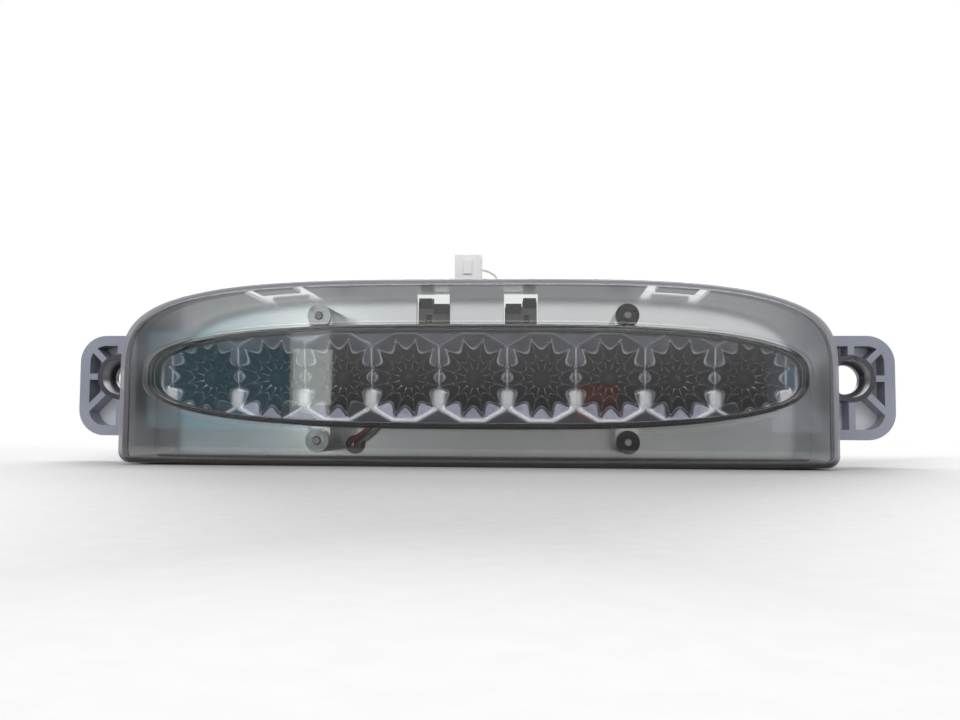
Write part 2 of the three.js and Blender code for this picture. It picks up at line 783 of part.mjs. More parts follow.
// Down the chamber's back, under its lower edge, through the grommet, forward of the tray
// floor and through the notch in the well's wall to the board.
function leadTail(wireAt, offset) {
  return [
    ...besidePair(offset),
    [(wireAt - 40 + offset) / 2, wireBehindCover - 1.2, 9.2],
    [wireAt, wireBehindCover - 5.5, grommetZ + 0.2],
    [wireAt, floorBack + 3, grommetZ],
    [wireAt, floorFront, grommetZ],
    [wireAt, floorFront - 3.6, grommetZ + 0.4],
    [wireAt + 2.6, floorFront - 5.2, grommetZ + 2.6],
    [wireAt + 5.6, floorFront - 3.6, grommetZ + 5],
    [wireAt + 7.8, floorFront - 1.6, grommetZ + 7.6],
    [wireAt + 8.8, floorFront, grommetZ + 10.8],
    [wireAt + 9, boardFront - 2 * gap, grommetZ + 11.6],
  ];
}

function redLead() {
  return wire([
    [bladeX[0], connectorY, bladeFoot - gap],
    [bladeX[0], connectorY, connectorZ[0]],
    [bladeX[0], connectorY + 1, connectorZ[0] - 5],
    [bladeX[0] - 3, wireBehindCover - 0.8, connectorZ[0] - 8],
    [bladeX[0] - 10, wireBehindCover, connectorZ[0] - 14.6],
    ...leadTail(wireX[0], -wirePitch / 2),
  ], 52);
}

// The white wire makes one loose turn over the connector's back before it follows the red.
function whiteLead() {
  return wire([
    [bladeX[1], connectorY, bladeFoot - gap],
    [bladeX[1], connectorY, connectorZ[0]],
    [bladeX[1] + 0.4, connectorY + 2, connectorZ[0] - 5],
    [bladeX[1] + 4, wireBehindCover + 2.6, connectorZ[0] - 5],
    [7, wireBehindCover + 3, connectorZ[0] + 1],
    [6.4, wireBehindCover + 3, connectorZ[0] + 7.2],
    [0, wireBehindCover + 3, connectorZ[0] + 10.4],
    [-7.5, wireBehindCover + 3, connectorZ[0] + 8.4],
    [-11, wireBehindCover + 3, connectorZ[0] + 1],
    [-10, wireBehindCover + 3, connectorZ[0] - 8],
    [-13.4, wireBehindCover + 1.4, connectorZ[0] - 15],
    ...leadTail(wireX[1], wirePitch / 2),
  ], 64);
}

function grommet() {
  const body = join(
    bar(grommetRadius, grommetX, [floorFront - gap - grommetFlange, floorBack + gap], grommetZ),
    bar(grommetFlangeRadius, grommetX,
      [floorFront - gap - grommetFlange, floorFront - gap], grommetZ),
    bar(grommetFlangeRadius, grommetX,
      [floorBack + gap, floorBack + gap + grommetFlange], grommetZ),
  );
  const bores = wireX.map((x) => bar(
    wireRadius + gap, x, [floorFront - 4, floorBack + 4], grommetZ, 12,
  ));
  return cut(body, ...bores);
}

// ---------------------------------------------------------------- the assembly
place('lens_cover', lens(), smoke);
place('lens_bead', bead(), adhesive);
place('housing_tray', tray(), metallised);
place('reflector', reflector(), mirror);
place('led_board', board(), boardGreen);
diodeX.forEach((x, i) => place(`led_${i + 1}`, diode(x), clearResin));
resistorX.forEach((x, i) => (
  place(`resistor_${i + 1}`, axialPart(x, resistorHeight, 1.2, 6.4), resistorBody)
));
place('rectifier', axialPart(rectifierX, rectifierHeight, 1.35, 5), rectifierBody);
place('rear_cover', rearCover(), greyPlastic);
let screwNumber = 1;
for (const side of bothSides) {
  for (const height of postHeights) {
    place(`cover_screw_${screwNumber}`, coverScrew(side, height), steel);
    screwNumber += 1;
  }
}
place('spring_clip_left', springClip(-1), springSteel);
place('spring_clip_right', springClip(1), springSteel);
place('connector_housing', connector(), whiteNylon);
bladeX.forEach((x, i) => place(`terminal_${i + 1}`, blade(x), brass));
place('cable_grommet', grommet(), blackRubber);
place('lead_red', redLead(), redSheath);
place('lead_white', whiteLead(), whiteSheath);

export default lamp;
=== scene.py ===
import math

import bmesh
import bpy
import numpy as np
from mathutils import Matrix, Vector


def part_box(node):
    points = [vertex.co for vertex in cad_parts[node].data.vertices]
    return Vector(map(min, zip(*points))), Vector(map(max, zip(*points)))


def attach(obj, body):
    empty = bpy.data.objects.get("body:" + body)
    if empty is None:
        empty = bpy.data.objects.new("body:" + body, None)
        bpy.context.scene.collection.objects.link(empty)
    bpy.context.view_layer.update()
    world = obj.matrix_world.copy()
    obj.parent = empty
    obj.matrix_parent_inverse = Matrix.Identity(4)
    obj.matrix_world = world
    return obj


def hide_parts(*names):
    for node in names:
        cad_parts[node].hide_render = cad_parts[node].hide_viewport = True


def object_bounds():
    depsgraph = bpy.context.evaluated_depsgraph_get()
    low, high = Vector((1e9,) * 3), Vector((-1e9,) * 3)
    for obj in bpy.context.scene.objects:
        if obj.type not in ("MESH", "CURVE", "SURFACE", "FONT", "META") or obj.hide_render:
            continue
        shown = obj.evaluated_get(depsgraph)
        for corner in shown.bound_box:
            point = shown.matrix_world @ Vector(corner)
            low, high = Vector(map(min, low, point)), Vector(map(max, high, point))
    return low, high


# ------------------------------------------------------------------ frame
MM = 0.001
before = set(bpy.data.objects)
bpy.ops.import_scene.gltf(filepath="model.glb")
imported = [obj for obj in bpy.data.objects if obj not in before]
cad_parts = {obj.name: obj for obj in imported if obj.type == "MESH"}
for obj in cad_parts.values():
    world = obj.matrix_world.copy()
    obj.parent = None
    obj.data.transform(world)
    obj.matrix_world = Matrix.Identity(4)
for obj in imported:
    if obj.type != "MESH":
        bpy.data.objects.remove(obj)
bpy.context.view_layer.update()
SIDES = (-1, 1)

# The lamp's own drawing measures depth back from the lens window and height up from its foot.
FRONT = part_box("lens_cover")[0].y
FOOT_CROWN = 0.6 * MM
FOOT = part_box("lens_cover")[0].z + FOOT_CROWN
HALF_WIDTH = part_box("lens_cover")[1].x
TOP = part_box("lens_cover")[1].z

LENS_THICKNESS = 2 * MM
LENS_FACE = FRONT + 2 * MM
SKIRT_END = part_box("lens_bead")[0].y - 0.3 * MM
RIM_RADIUS = 2.4 * MM
TOP_WALL = 1.2 * MM
SIDE_WALL = 2.4 * MM
SHOULDER_BASE = FOOT + 28 * MM
SHOULDER_POWER = 3.65
FOOT_CORNER = 4 * MM
LEAST_CORNER = 0.5 * MM

WINDOW_HALF = (109.5 * MM, 17.5 * MM)
WINDOW_POWER = 2.95
WINDOW_CHAMFER = 0.8 * MM
WINDOW_CROWN = 0.25 * MM

CUP_COUNT = 9
CUP_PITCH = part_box("led_2")[0].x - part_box("led_1")[0].x
REFLECTOR_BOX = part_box("reflector")
WINDOW_CENTRE = (REFLECTOR_BOX[0].z + REFLECTOR_BOX[1].z) / 2
CUP_FRONT = FRONT + 11.2 * MM
CUP_DEPTH = 10.2 * MM
CUP_HOLE = 3.4 * MM

POST_X = 51.1 * MM
POST_HEIGHTS = (FOOT + 7.8 * MM, FOOT + 49.3 * MM)
POST_RADIUS = 3.9 * MM
SCREW_X = 130.2 * MM
TUBE_RADIUS = 8.2 * MM

RING_POINTS = 720
OUTLINE_STEPS = (4000, 60, 400)  # over the shoulders, round a foot corner, along the foot

# Angles in degrees: edges sharper than these are kept, and faces flatter than the last are joined.
MESH_ANGLE = 35
LENS_ANGLE = 40
REFLECTOR_ANGLE = 50
SHARP_ANGLE = 32
ROUND_ANGLE = 62
FLAT_ANGLE = 0.6
MERGE_DISTANCE = 0.002 * MM


# ------------------------------------------------------------------ mesh helpers
def put_mesh(name, points, faces, smooth_angle=MESH_ANGLE):
    """A mesh object at the origin from (n, 3) points and a list of face index arrays."""
    mesh = bpy.data.meshes.new(name)
    mesh.from_pydata(points.reshape(-1, 3).tolist(), [], [f for block in faces for f in block.tolist()])
    mesh.validate()
    mesh.update()
    mesh.shade_smooth()
    mesh.set_sharp_from_angle(angle=math.radians(smooth_angle))
    piece = bpy.data.objects.new(name, mesh)
    bpy.context.scene.collection.objects.link(piece)
    return piece


def grid_faces(rows, columns, start=0):
    """Quads of a grid that is closed across its columns, with its points counted on from start."""
    r = np.arange(rows - 1)[:, None]
    c = np.arange(columns)[None, :]
    across = (c + 1) % columns
    down = r + 1
    quads = np.stack([r * columns + c, down * columns + c, down * columns + across, r * columns + across], -1)
    return start + quads.reshape(-1, 4)


def closed_rings(rings):
    """Points and faces of rings joined in order, the first and last each filled by a fan to its centre."""
    rings = np.asarray(rings)
    rows, columns, _ = rings.shape
    poles = np.stack([rings[0].mean(0), rings[-1].mean(0)])
    points = np.concatenate([rings.reshape(-1, 3), poles])
    c = np.arange(columns)
    following = (c + 1) % columns
    front_pole = np.full(columns, rows * columns)
    last_row = (rows - 1) * columns
    fan_start = np.stack([front_pole, c, following], -1)
    fan_end = np.stack([front_pole + 1, last_row + following, last_row + c], -1)
    return points, [grid_faces(rows, columns), fan_start, fan_end]


def gather(parts):
    """Several (points, faces) parts as one, with the later faces counted on from the earlier points."""
    points = []
    faces = []
    count = 0
    for part_points, part_faces in parts:
        points.append(part_points)
        faces += [block + count for block in part_faces]
        count += len(part_points)
    return np.concatenate(points), faces


def turned(profile, x, z, steps):
    """Rings about the line through (x, z) along Y: each profile pair is a radius and a Y place."""
    angle = 2 * math.pi * np.arange(steps) / steps
    radius, place = np.asarray(profile, float).T
    rings = np.stack([
        x + radius[:, None] * np.cos(angle),
        np.broadcast_to(place[:, None], (len(radius), steps)),
        z + radius[:, None] * np.sin(angle),
    ], -1)
    return closed_rings(rings)


def settle(piece, finish, slot, *nodes):
    """The piece takes its finish, rides on the lamp's one body and stands for its CAD nodes."""
    piece.data.materials.clear()
    piece.data.materials.append(finish)
    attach(piece, "root")
    if nodes:
        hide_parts(*nodes)
    return piece


def refined(node, finish, slot, edge, angle=SHARP_ANGLE):
    """A copy of a CAD node's mesh, merged, with its flat faces joined and its edges rounded."""
    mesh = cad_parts[node].data.copy()
    mesh.name = node + "_finished"
    shape = bmesh.new()
    shape.from_mesh(mesh)
    bmesh.ops.remove_doubles(shape, verts=shape.verts, dist=MERGE_DISTANCE)
    flat = math.radians(FLAT_ANGLE)
    bmesh.ops.dissolve_limit(shape, angle_limit=flat, verts=shape.verts, edges=shape.edges)
    shape.to_mesh(mesh)
    shape.free()
    mesh.shade_smooth()
    mesh.set_sharp_from_angle(angle=math.radians(angle))
    piece = bpy.data.objects.new(node + "_finished", mesh)
    bpy.context.scene.collection.objects.link(piece)
    rounding = piece.modifiers.new("edges", "BEVEL")
    rounding.limit_method = "ANGLE"
    rounding.angle_limit = math.radians(angle)
    rounding.width = edge
    rounding.segments = 2
    rounding.harden_normals = True
    return settle(piece, finish, slot, node)


# ------------------------------------------------------------------ outlines
RAY = 2 * math.pi * np.arange(RING_POINTS) / RING_POINTS


def ray_angle(x, z):
    """Angle about the window's centre after both axes are scaled by the window's half sizes."""
    return np.arctan2((z - WINDOW_CENTRE) / WINDOW_HALF[1], x / WINDOW_HALF[0])


def lamp_ring(inset, side=0.0):
    """The lamp's outline seen from the front, moved in: a superellipse over the shoulders, round foot
    corners and a slightly crowned foot, read off along evenly spaced rays from the window's centre."""
    half = HALF_WIDTH - inset - side
    rise = TOP - SHOULDER_BASE - inset
    corner = max(FOOT_CORNER - inset, LEAST_CORNER)
    shoulder_steps, corner_steps, foot_steps = OUTLINE_STEPS
    sweep = np.linspace(0, math.pi, shoulder_steps)
    shoulder_x = half * np.sign(np.cos(sweep)) * np.abs(np.cos(sweep)) ** (2 / SHOULDER_POWER)
    shoulder_z = SHOULDER_BASE + rise * np.sin(sweep).clip(0) ** (2 / SHOULDER_POWER)
    quarter = np.linspace(0, math.pi / 2, corner_steps)
    corner_x = half - corner
    foot = FOOT + inset
    left_x = -corner_x - corner * np.cos(quarter)
    left_z = foot + corner - corner * np.sin(quarter)
    share = np.linspace(-1, 1, foot_steps)[1:-1]
    x = np.concatenate([shoulder_x, left_x, share * corner_x, -left_x[::-1]])
    z = np.concatenate([shoulder_z, left_z, foot - FOOT_CROWN * (1 - share ** 2), left_z[::-1]])
    angle = ray_angle(x, z)
    order = np.argsort(angle)
    return (
        np.interp(RAY, angle[order], x[order], period=2 * math.pi),
        np.interp(RAY, angle[order], z[order], period=2 * math.pi),
    )


def window_ring(inset, half=WINDOW_HALF):
    """The lens window's outline: the superellipse (|x/a|^p + |z/b|^p = 1) on the same rays."""
    across = WINDOW_HALF[0] * np.cos(RAY)
    up = WINDOW_HALF[1] * np.sin(RAY)
    share_x = np.abs(across / (half[0] - inset)) ** WINDOW_POWER
    share_z = np.abs(up / (half[1] - inset)) ** WINDOW_POWER
    reach = (share_x + share_z) ** (-1 / WINDOW_POWER)
    return across * reach, WINDOW_CENTRE + up * reach


def at_depth(ring, y):
    """An outline's points at one depth."""
    x, z = ring
    return np.stack([x, np.broadcast_to(y, x.shape), z], -1)


# ------------------------------------------------------------------ shader maths
STRAIGHT_GLOSS = 0.04


class Signal:
    """A node's output that takes part in plain arithmetic."""

    def __init__(self, maker, socket):
        self.maker = maker
        self.socket = socket

    def math(self, operation, first, second=0.0):
        return self.maker.signal("Math", 0, {0: first, 1: second}, operation=operation)

    def greatest(self, other):
        return self.math("MAXIMUM", self, other)

    def least(self, other):
        return self.math("MINIMUM", self, other)

    def __add__(self, other):
        return self.math("ADD", self, other)

    __radd__ = __add__

    def __sub__(self, other):
        return self.math("SUBTRACT", self, other)

    def __rsub__(self, other):
        return self.math("SUBTRACT", other, self)

    def __mul__(self, other):
        return self.math("MULTIPLY", self, other)

    __rmul__ = __mul__

    def __pow__(self, other):
        return self.math("POWER", self, other)

    def __abs__(self):
        return self.math("ABSOLUTE", self)

    def over(self, low, high, start=0.0, end=1.0):
        """start below low, end above high, and a smooth step between them."""
        inputs = {"Value": self, "From Min": low, "From Max": high, "To Min": start, "To Max": end}
        return self.maker.signal("MapRange", 0, inputs, interpolation_type="SMOOTHSTEP")

    def blend(self, first, second):
        """A colour that is first where this signal is 0 and second where it is 1."""
        return self.maker.signal("Mix", 2, {0: self, 6: first, 7: second}, data_type="RGBA")


class Finish:
    """A node tree being made for a material or for the world."""

    def __init__(self, name, holder=None):
        self.holder = holder or bpy.data.materials.new(name)
        self.holder.use_nodes = True
        self.tree = self.holder.node_tree
        self.tree.nodes.clear()

    def node(self, kind, inputs, **settings):
        made = self.tree.nodes.new("ShaderNode" + kind)
        for key, value in settings.items():
            setattr(made, key, value)
        for key, value in inputs.items():
            if isinstance(value, Signal):
                self.tree.links.new(value.socket, made.inputs[key])
            else:
                made.inputs[key].default_value = value
        return made

    def signal(self, kind, output, inputs, **settings):
        return Signal(self, self.node(kind, inputs, **settings).outputs[output])

    def place(self):
        """The three Object coordinates, in metres."""
        point = self.signal("TexCoord", "Object", {})
        return [self.signal("SeparateXYZ", axis, {0: point}) for axis in range(3)]

    def noise(self, scale, detail):
        """Soft noise over the Object coordinates, with scale features to the metre."""
        point = self.signal("TexCoord", "Object", {})
        return self.signal("TexNoise", 0, {"Vector": point, "Scale": scale, "Detail": detail})

    def attribute(self, name):
        """A number that the mesh carries at each point."""
        return self.signal("Attribute", "Fac", {}, attribute_name=name)

    def gloss(self):
        """Share of light that a clear skin reflects: small seen straight on, whole at a grazing
        angle, and a fifth power of how far the surface turns away in between."""
        facing = self.signal("LayerWeight", "Facing", {"Blend": 0.5})
        return facing ** 5 * (1 - STRAIGHT_GLOSS) + STRAIGHT_GLOSS

    def bump(self, height, strength, distance):
        """A normal tilted by the height signal, for grain too fine for the mesh."""
        return self.signal("Bump", 0, {"Height": height, "Strength": strength, "Distance": distance})

    def shader(self, **inputs):
        """A Principled shader whose inputs are named with underscores for spaces."""
        named = {key.replace("_", " ").title().replace("Ior", "IOR"): value for key, value in inputs.items()}
        return self.signal("BsdfPrincipled", 0, named)

    def done(self, surface):
        self.node("OutputMaterial", {"Surface": surface})
        return self.holder


def colour(red, green, blue):
    return (red, green, blue, 1)


def grey(level):
    return colour(level, level, level)


# ------------------------------------------------------------------ finishes
# Where the tray's and the lens's finishes and painted shades change: the start and end of a soft step.
RIM_FOOT_SHADE_HEIGHTS = (FOOT + 1 * MM, FOOT + 4 * MM)
FOOT_SHADE_HEIGHTS = (FOOT + 1.9 * MM, FOOT + 2.5 * MM)
CEILING_HEIGHTS = (14 * MM, 28 * MM)
FILM_SHADE_HEIGHTS = (WINDOW_CENTRE - 6 * MM, WINDOW_CENTRE + 6 * MM)
CEILING_SHADE_DEPTHS = (FRONT + 11 * MM, FRONT + 15 * MM)
POST_SHADE_DEPTHS = (FRONT + 7 * MM, FRONT + 12 * MM)
POCKET_DEPTHS = (-8 * MM, -4 * MM)
STEP = 0.1 * MM


def smoked_acrylic():
    """Grey acrylic that holds back a tenth of the light, with a clear gloss and a denser rim that is
    grey-blue at the sides and painted nearly black along the foot, a painted shade."""
    finish = Finish("smoke lens")
    rim = finish.attribute("rim")
    height = finish.place()[2]
    # Painted shade: below these heights the dense rim is painted nearly black along the foot.
    above_foot_shade = height.over(*RIM_FOOT_SHADE_HEIGHTS)
    rim_tint_and_foot_shade = above_foot_shade.blend(colour(0.06, 0.055, 0.055), colour(0.34, 0.34, 0.38))
    clear = finish.signal("BsdfTransparent", 0, {"Color": colour(0.895, 0.9, 0.9)})
    skin = finish.shader(
        base_color=rim.blend(grey(0.95), rim_tint_and_foot_shade),
        metallic=1 - rim,
        roughness=finish.noise(420, 4.0).over(0.45, 0.8, 0.015, 0.06) + rim * 0.14,
        normal=finish.bump(finish.noise(28, 2.0), 0.05, 0.4 * MM),
    )
    return finish.done(finish.signal("MixShader", 0, {0: finish.gloss() + rim * 0.58, 1: clear, 2: skin}))


def metallised_plastic():
    """Metal film inside the lamp, bright above the window and painted dimmer below it as painted shade,
    with painted shade that makes the walls a duller grey, an olive band at the front of the ceiling
    and a black line along the foot. The well and the posts' front halves are painted dark as shade,
    the left posts less so. The outside and back are bare blue-grey plastic, and the ears have pocket
    floors painted pale, a painted highlight on their metal film, and a screw tube painted dark and
    glossy, a painted shade in its bore."""
    finish = Finish("metallised tray")
    x, y, z = finish.place()
    normal = finish.signal("NewGeometry", "Normal", {})
    sideways, facing, upward = [finish.signal("SeparateXYZ", axis, {0: normal}) for axis in range(3)]
    reach = abs(x)
    cloud = finish.noise(35, 4.0).over(0.3, 0.7)
    grain = finish.noise(900, 3.0)

    wall = abs(facing).over(0.45, 0.85, 1, 0)
    # Painted shade: an olive band at the front of the metallised ceiling.
    ceiling = y.over(*CEILING_SHADE_DEPTHS).blend(colour(0.34, 0.335, 0.305), colour(0.92, 0.94, 0.94))
    # Painted shade: walls, metallised like the film, are painted a duller grey.
    shaded_walls = z.over(*CEILING_HEIGHTS).blend(colour(0.66, 0.67, 0.71), ceiling)
    # Painted shade: the film below the window is painted dimmer than above it.
    shaded_low_film = cloud.blend(colour(0.50, 0.515, 0.515), colour(0.56, 0.565, 0.565))
    high_film = cloud.blend(colour(0.92, 0.94, 0.94), colour(0.98, 0.99, 0.99))
    film = z.over(*FILM_SHADE_HEIGHTS).blend(shaded_low_film, high_film)
    inside = wall.blend(film, shaded_walls)
    # Painted shade: a black line along the foot.
    inside = z.over(*FOOT_SHADE_HEIGHTS).blend(colour(0.035, 0.03, 0.025), inside)

    # Painted shade: inside the window's oval the well is painted near black.
    across = (reach * (1 / WINDOW_HALF[0])) ** WINDOW_POWER
    up = (abs(z - WINDOW_CENTRE) * (1 / WINDOW_HALF[1])) ** WINDOW_POWER
    well = (across + up).over(1.0, 1.02, 1, 0)
    inside = well.blend(inside, colour(0.012, 0.012, 0.013))

    # Painted shade: the posts' front halves are painted near black, the left posts less so.
    from_post = reach - POST_X
    low, high = [abs(z - height) for height in POST_HEIGHTS]
    nearest = low.least(high)
    from_axis = (from_post * from_post + nearest * nearest) ** 0.5
    post = from_axis.over(POST_RADIUS - STEP, POST_RADIUS + STEP, 1, 0)
    post = post * y.over(*POST_SHADE_DEPTHS, 1, 0) * x.over(-10 * MM, 10 * MM, 0.55, 1)
    inside = post.blend(inside, grey(0.012))

    bare = cloud.blend(colour(0.27, 0.285, 0.345), colour(0.32, 0.335, 0.395))
    outer_wall = (sideways * x * 0.3 + upward * (z - WINDOW_CENTRE)).over(0, 2 * MM) * wall
    back = facing.over(0.2, 0.5).greatest(outer_wall)
    inside = back.blend(inside, bare)

    # Painted highlight: the ears' pocket floors, metal film like the rest, are painted pale.
    floor = y.over(*POCKET_DEPTHS) * facing.over(-0.8, -0.5, 1, 0)
    ear = floor.blend(bare, colour(0.88, 0.90, 0.93))
    # Painted shade: the screw tube's bore is painted dark and glossy.
    from_screw = reach - SCREW_X
    from_axis = (from_screw * from_screw + z * z) ** 0.5
    tube = from_axis.over(TUBE_RADIUS - STEP, TUBE_RADIUS + 3 * STEP, 1, 0)
    ear = tube.blend(ear, colour(0.10, 0.10, 0.115))

    outside = reach.over(HALF_WIDTH - 0.5 * MM, HALF_WIDTH + 0.5 * MM)
    plain = back.greatest(outside * (1 - tube))
    dull = wall.greatest(plain)
    return finish.done(finish.shader(
        base_color=outside.blend(inside, ear),
        metallic=1 - (plain * 0.85).greatest(wall * 0.6),
        roughness=dull.over(0, 1, 0.14, 0.3) + grain * 0.03,
        normal=finish.bump(finish.noise(60, 3.0) + grain * 0.03, 0.06, 0.35 * MM),
    ))


def mirror_film():
    """Dark chrome film on the reflector, with painted shade that makes it darkest down in the cups and
    on the rim wall, and pale painted highlights along its facets' edges."""
    finish = Finish("mirror reflector")
    edge = finish.attribute("edge")
    deep_shade = finish.attribute("deep_shade")
    stain = finish.noise(140, 4.0).over(0.35, 0.7)
    film = stain.blend(colour(0.09, 0.09, 0.115), colour(0.15, 0.15, 0.185))
    # Painted shade: the film is painted darker far in the cups and on the rim wall.
    shaded_film = deep_shade.blend(film, colour(0.02, 0.02, 0.023))
    return finish.done(finish.shader(
        # Painted highlights: pale, non-metal lines along the facets' edges.
        base_color=edge.blend(shaded_film, colour(0.92, 0.93, 0.96)),
        metallic=1 - edge,
        roughness=deep_shade * 0.14 + edge * 0.25 + 0.06,
        normal=finish.bump(finish.noise(260, 2.0), 0.05, 0.1 * MM),
    ))


def clear_resin():
    """Clear grey epoxy that shows a soft gloss and little of what is inside."""
    finish = Finish("clear resin")
    clear = finish.signal("BsdfTransparent", 0, {"Color": grey(0.72)})
    skin = finish.shader(
        base_color=colour(0.02, 0.02, 0.022),
        roughness=finish.noise(600, 2.0).over(0.4, 0.7, 0.05, 0.12),
        specular_ior_level=0.6,
    )
    share = finish.gloss() * 0.8 + 0.4
    return finish.done(finish.signal("MixShader", 0, {0: share, 1: clear, 2: skin}))


def moulded(name, dark, light, roughness, metallic=0.0, coat=0.0):
    """A moulded or drawn surface: two close tones in soft clouds, with a fine grain."""
    finish = Finish(name)
    cloud = finish.noise(70, 4.0).over(0.35, 0.68)
    fine = finish.noise(1500, 3.0)
    return finish.done(finish.shader(
        base_color=cloud.blend(colour(*dark), colour(*light)),
        metallic=metallic,
        roughness=fine.over(0.3, 0.7, roughness - 0.05, roughness + 0.07),
        coat_weight=coat,
        normal=finish.bump(fine, 0.25, 0.05 * MM),
    ))


# ------------------------------------------------------------------ lens
EDGE_BREAK = 0.2 * MM
CENTRE_SHARE = 0.04
PIN_RADIUS = 1.1 * MM
PIN_TIP_RADIUS = 0.8 * MM
PIN_CORE = 0.1 * MM
PIN_REACH = 3.4 * MM


def locating_pin(x, z, inner):
    """A pin with a chamfered tip that stands back from the lens's inside."""
    root = inner - 0.6 * MM
    tip = inner + PIN_REACH
    profile = [(PIN_CORE, root), (PIN_RADIUS, root), (PIN_RADIUS, tip - 0.3 * MM)]
    profile += [(PIN_TIP_RADIUS, tip), (PIN_CORE, tip)]
    return turned(profile, x, z, 24)


def between(first, second, share):
    """An outline part of the way from one outline to another."""
    return [a + (b - a) * share for a, b in zip(first, second)]


def lens_pieces():
    """Closed rings run from the window's middle over its crown and chamfer, across the face, round
    the rim, down the skirt and back along the inside to the middle of the window's pocket. Four
    locating pins stand behind it. A point attribute tells the dense rim from the clear face."""
    inner = FRONT + 2 * LENS_THICKNESS
    rings = []
    rim = []

    def add(ring, y, dense=0.0):
        rings.append(at_depth(ring, y))
        rim.append(dense)

    for share in np.linspace(CENTRE_SHARE, 1, 14):
        half = [(size - WINDOW_CHAMFER) * share for size in WINDOW_HALF]
        add(window_ring(0, half), FRONT + WINDOW_CROWN * share ** 2)
    add(window_ring(0.25 * MM), FRONT + WINDOW_CROWN + 0.3 * MM)
    add(window_ring(0), FRONT + WINDOW_CHAMFER + 0.1 * MM)
    add(window_ring(0), LENS_FACE - 0.15 * MM, 1.0)
    for share in (0.02, 0.1, 0.35, 0.65, 0.95, 1):
        add(between(window_ring(0), lamp_ring(RIM_RADIUS), share), LENS_FACE)
    for turn in np.linspace(0, math.pi / 2, 9)[1:]:
        inset = RIM_RADIUS * (1 - math.sin(turn))
        add(lamp_ring(inset), LENS_FACE + RIM_RADIUS * (1 - math.cos(turn)), 1.0)
    add(lamp_ring(0), SKIRT_END - EDGE_BREAK, 1.0)
    add(lamp_ring(EDGE_BREAK), SKIRT_END, 1.0)
    extra = SIDE_WALL - TOP_WALL
    add(lamp_ring(TOP_WALL - EDGE_BREAK, extra), SKIRT_END, 1.0)
    add(lamp_ring(TOP_WALL, extra), SKIRT_END - EDGE_BREAK, 1.0)
    add(lamp_ring(TOP_WALL, extra), inner + 2 * EDGE_BREAK, 0.6)
    wall = lamp_ring(TOP_WALL + 2 * EDGE_BREAK, extra)
    pocket = window_ring(LENS_THICKNESS)
    for share in (0, 0.3, 0.7, 0.98):
        add(between(wall, pocket, share), inner)
    add(pocket, inner - EDGE_BREAK / 2)
    add(pocket, FRONT + LENS_THICKNESS + EDGE_BREAK)
    for share in np.linspace(1, CENTRE_SHARE, 8):
        half = [(size - LENS_THICKNESS - EDGE_BREAK) * share for size in WINDOW_HALF]
        add(window_ring(0, half), FRONT + LENS_THICKNESS)
    shell = closed_rings(rings)
    density = np.concatenate([np.repeat(rim, RING_POINTS), [0, 0]])
    pins = [locating_pin(side * POST_X, height, inner) for side in SIDES for height in POST_HEIGHTS]
    points, faces = gather([shell, *pins])
    piece = put_mesh("smoked_lens", points, faces, LENS_ANGLE)
    mask = np.ones(len(points), np.float32)
    mask[:len(density)] = density
    piece.data.attributes.new("rim", "FLOAT", "POINT").data.foreach_set("value", mask)
    return settle(piece, smoked_acrylic(), "smoke_lens", "lens_cover")


# ------------------------------------------------------------------ reflector
MOUTH_RADIUS = 15.3 * MM  # at the twelve corners
PETALS = 12
PETAL_START = (9.7 * MM, 13.1 * MM)  # at a petal's middle and at its ends
PETAL_SWING = 2.1
PETAL_LIFT = 5 * MM
CONE_SLOPE = 0.36
BOWL_POWER = 1.5
SECOND_TIER = (6.0 * MM, 8.2 * MM)
KINK_DEPTH = 0.06
KINK_REACH = 2.2 * MM
SOFT_EDGE = 0.12 * MM
# Painted shade makes the film darker inside these radii.
DEEP_SHADE_RADII = (5.5 * MM, 9.5 * MM)
# A painted highlight, the leaf, lies at this height where two cups meet.
LEAF_HEIGHT = -7.2 * MM
LEAF_HALF = (1.9 * MM, 3.4 * MM)
SIDE_STEPS = 40
CUP_ROWS = 56
ROW_SPREAD = 0.9
REFLECTOR_RIM = 0.5 * MM
# A painted highlight along the rim wall's front edge.
WALL_TOP_GLINT = 0.25
REFLECTOR_HALF = (
    (REFLECTOR_BOX[1].x - REFLECTOR_BOX[0].x) / 2,
    (REFLECTOR_BOX[1].z - REFLECTOR_BOX[0].z) / 2,
)


def oval_height(x, half):
    """Half height of the reflector's oval at x."""
    return half[1] * (1 - np.abs(x / half[0]).clip(0, 1) ** WINDOW_POWER) ** (1 / WINDOW_POWER)


def oval_arc(x_start, x_end, side, half, count):
    """Points along the oval between two x places, evenly spread, on its upper or lower side."""
    x = np.linspace(x_start, x_end, count, endpoint=False)
    return np.stack([x, side * oval_height(x, half)], -1)


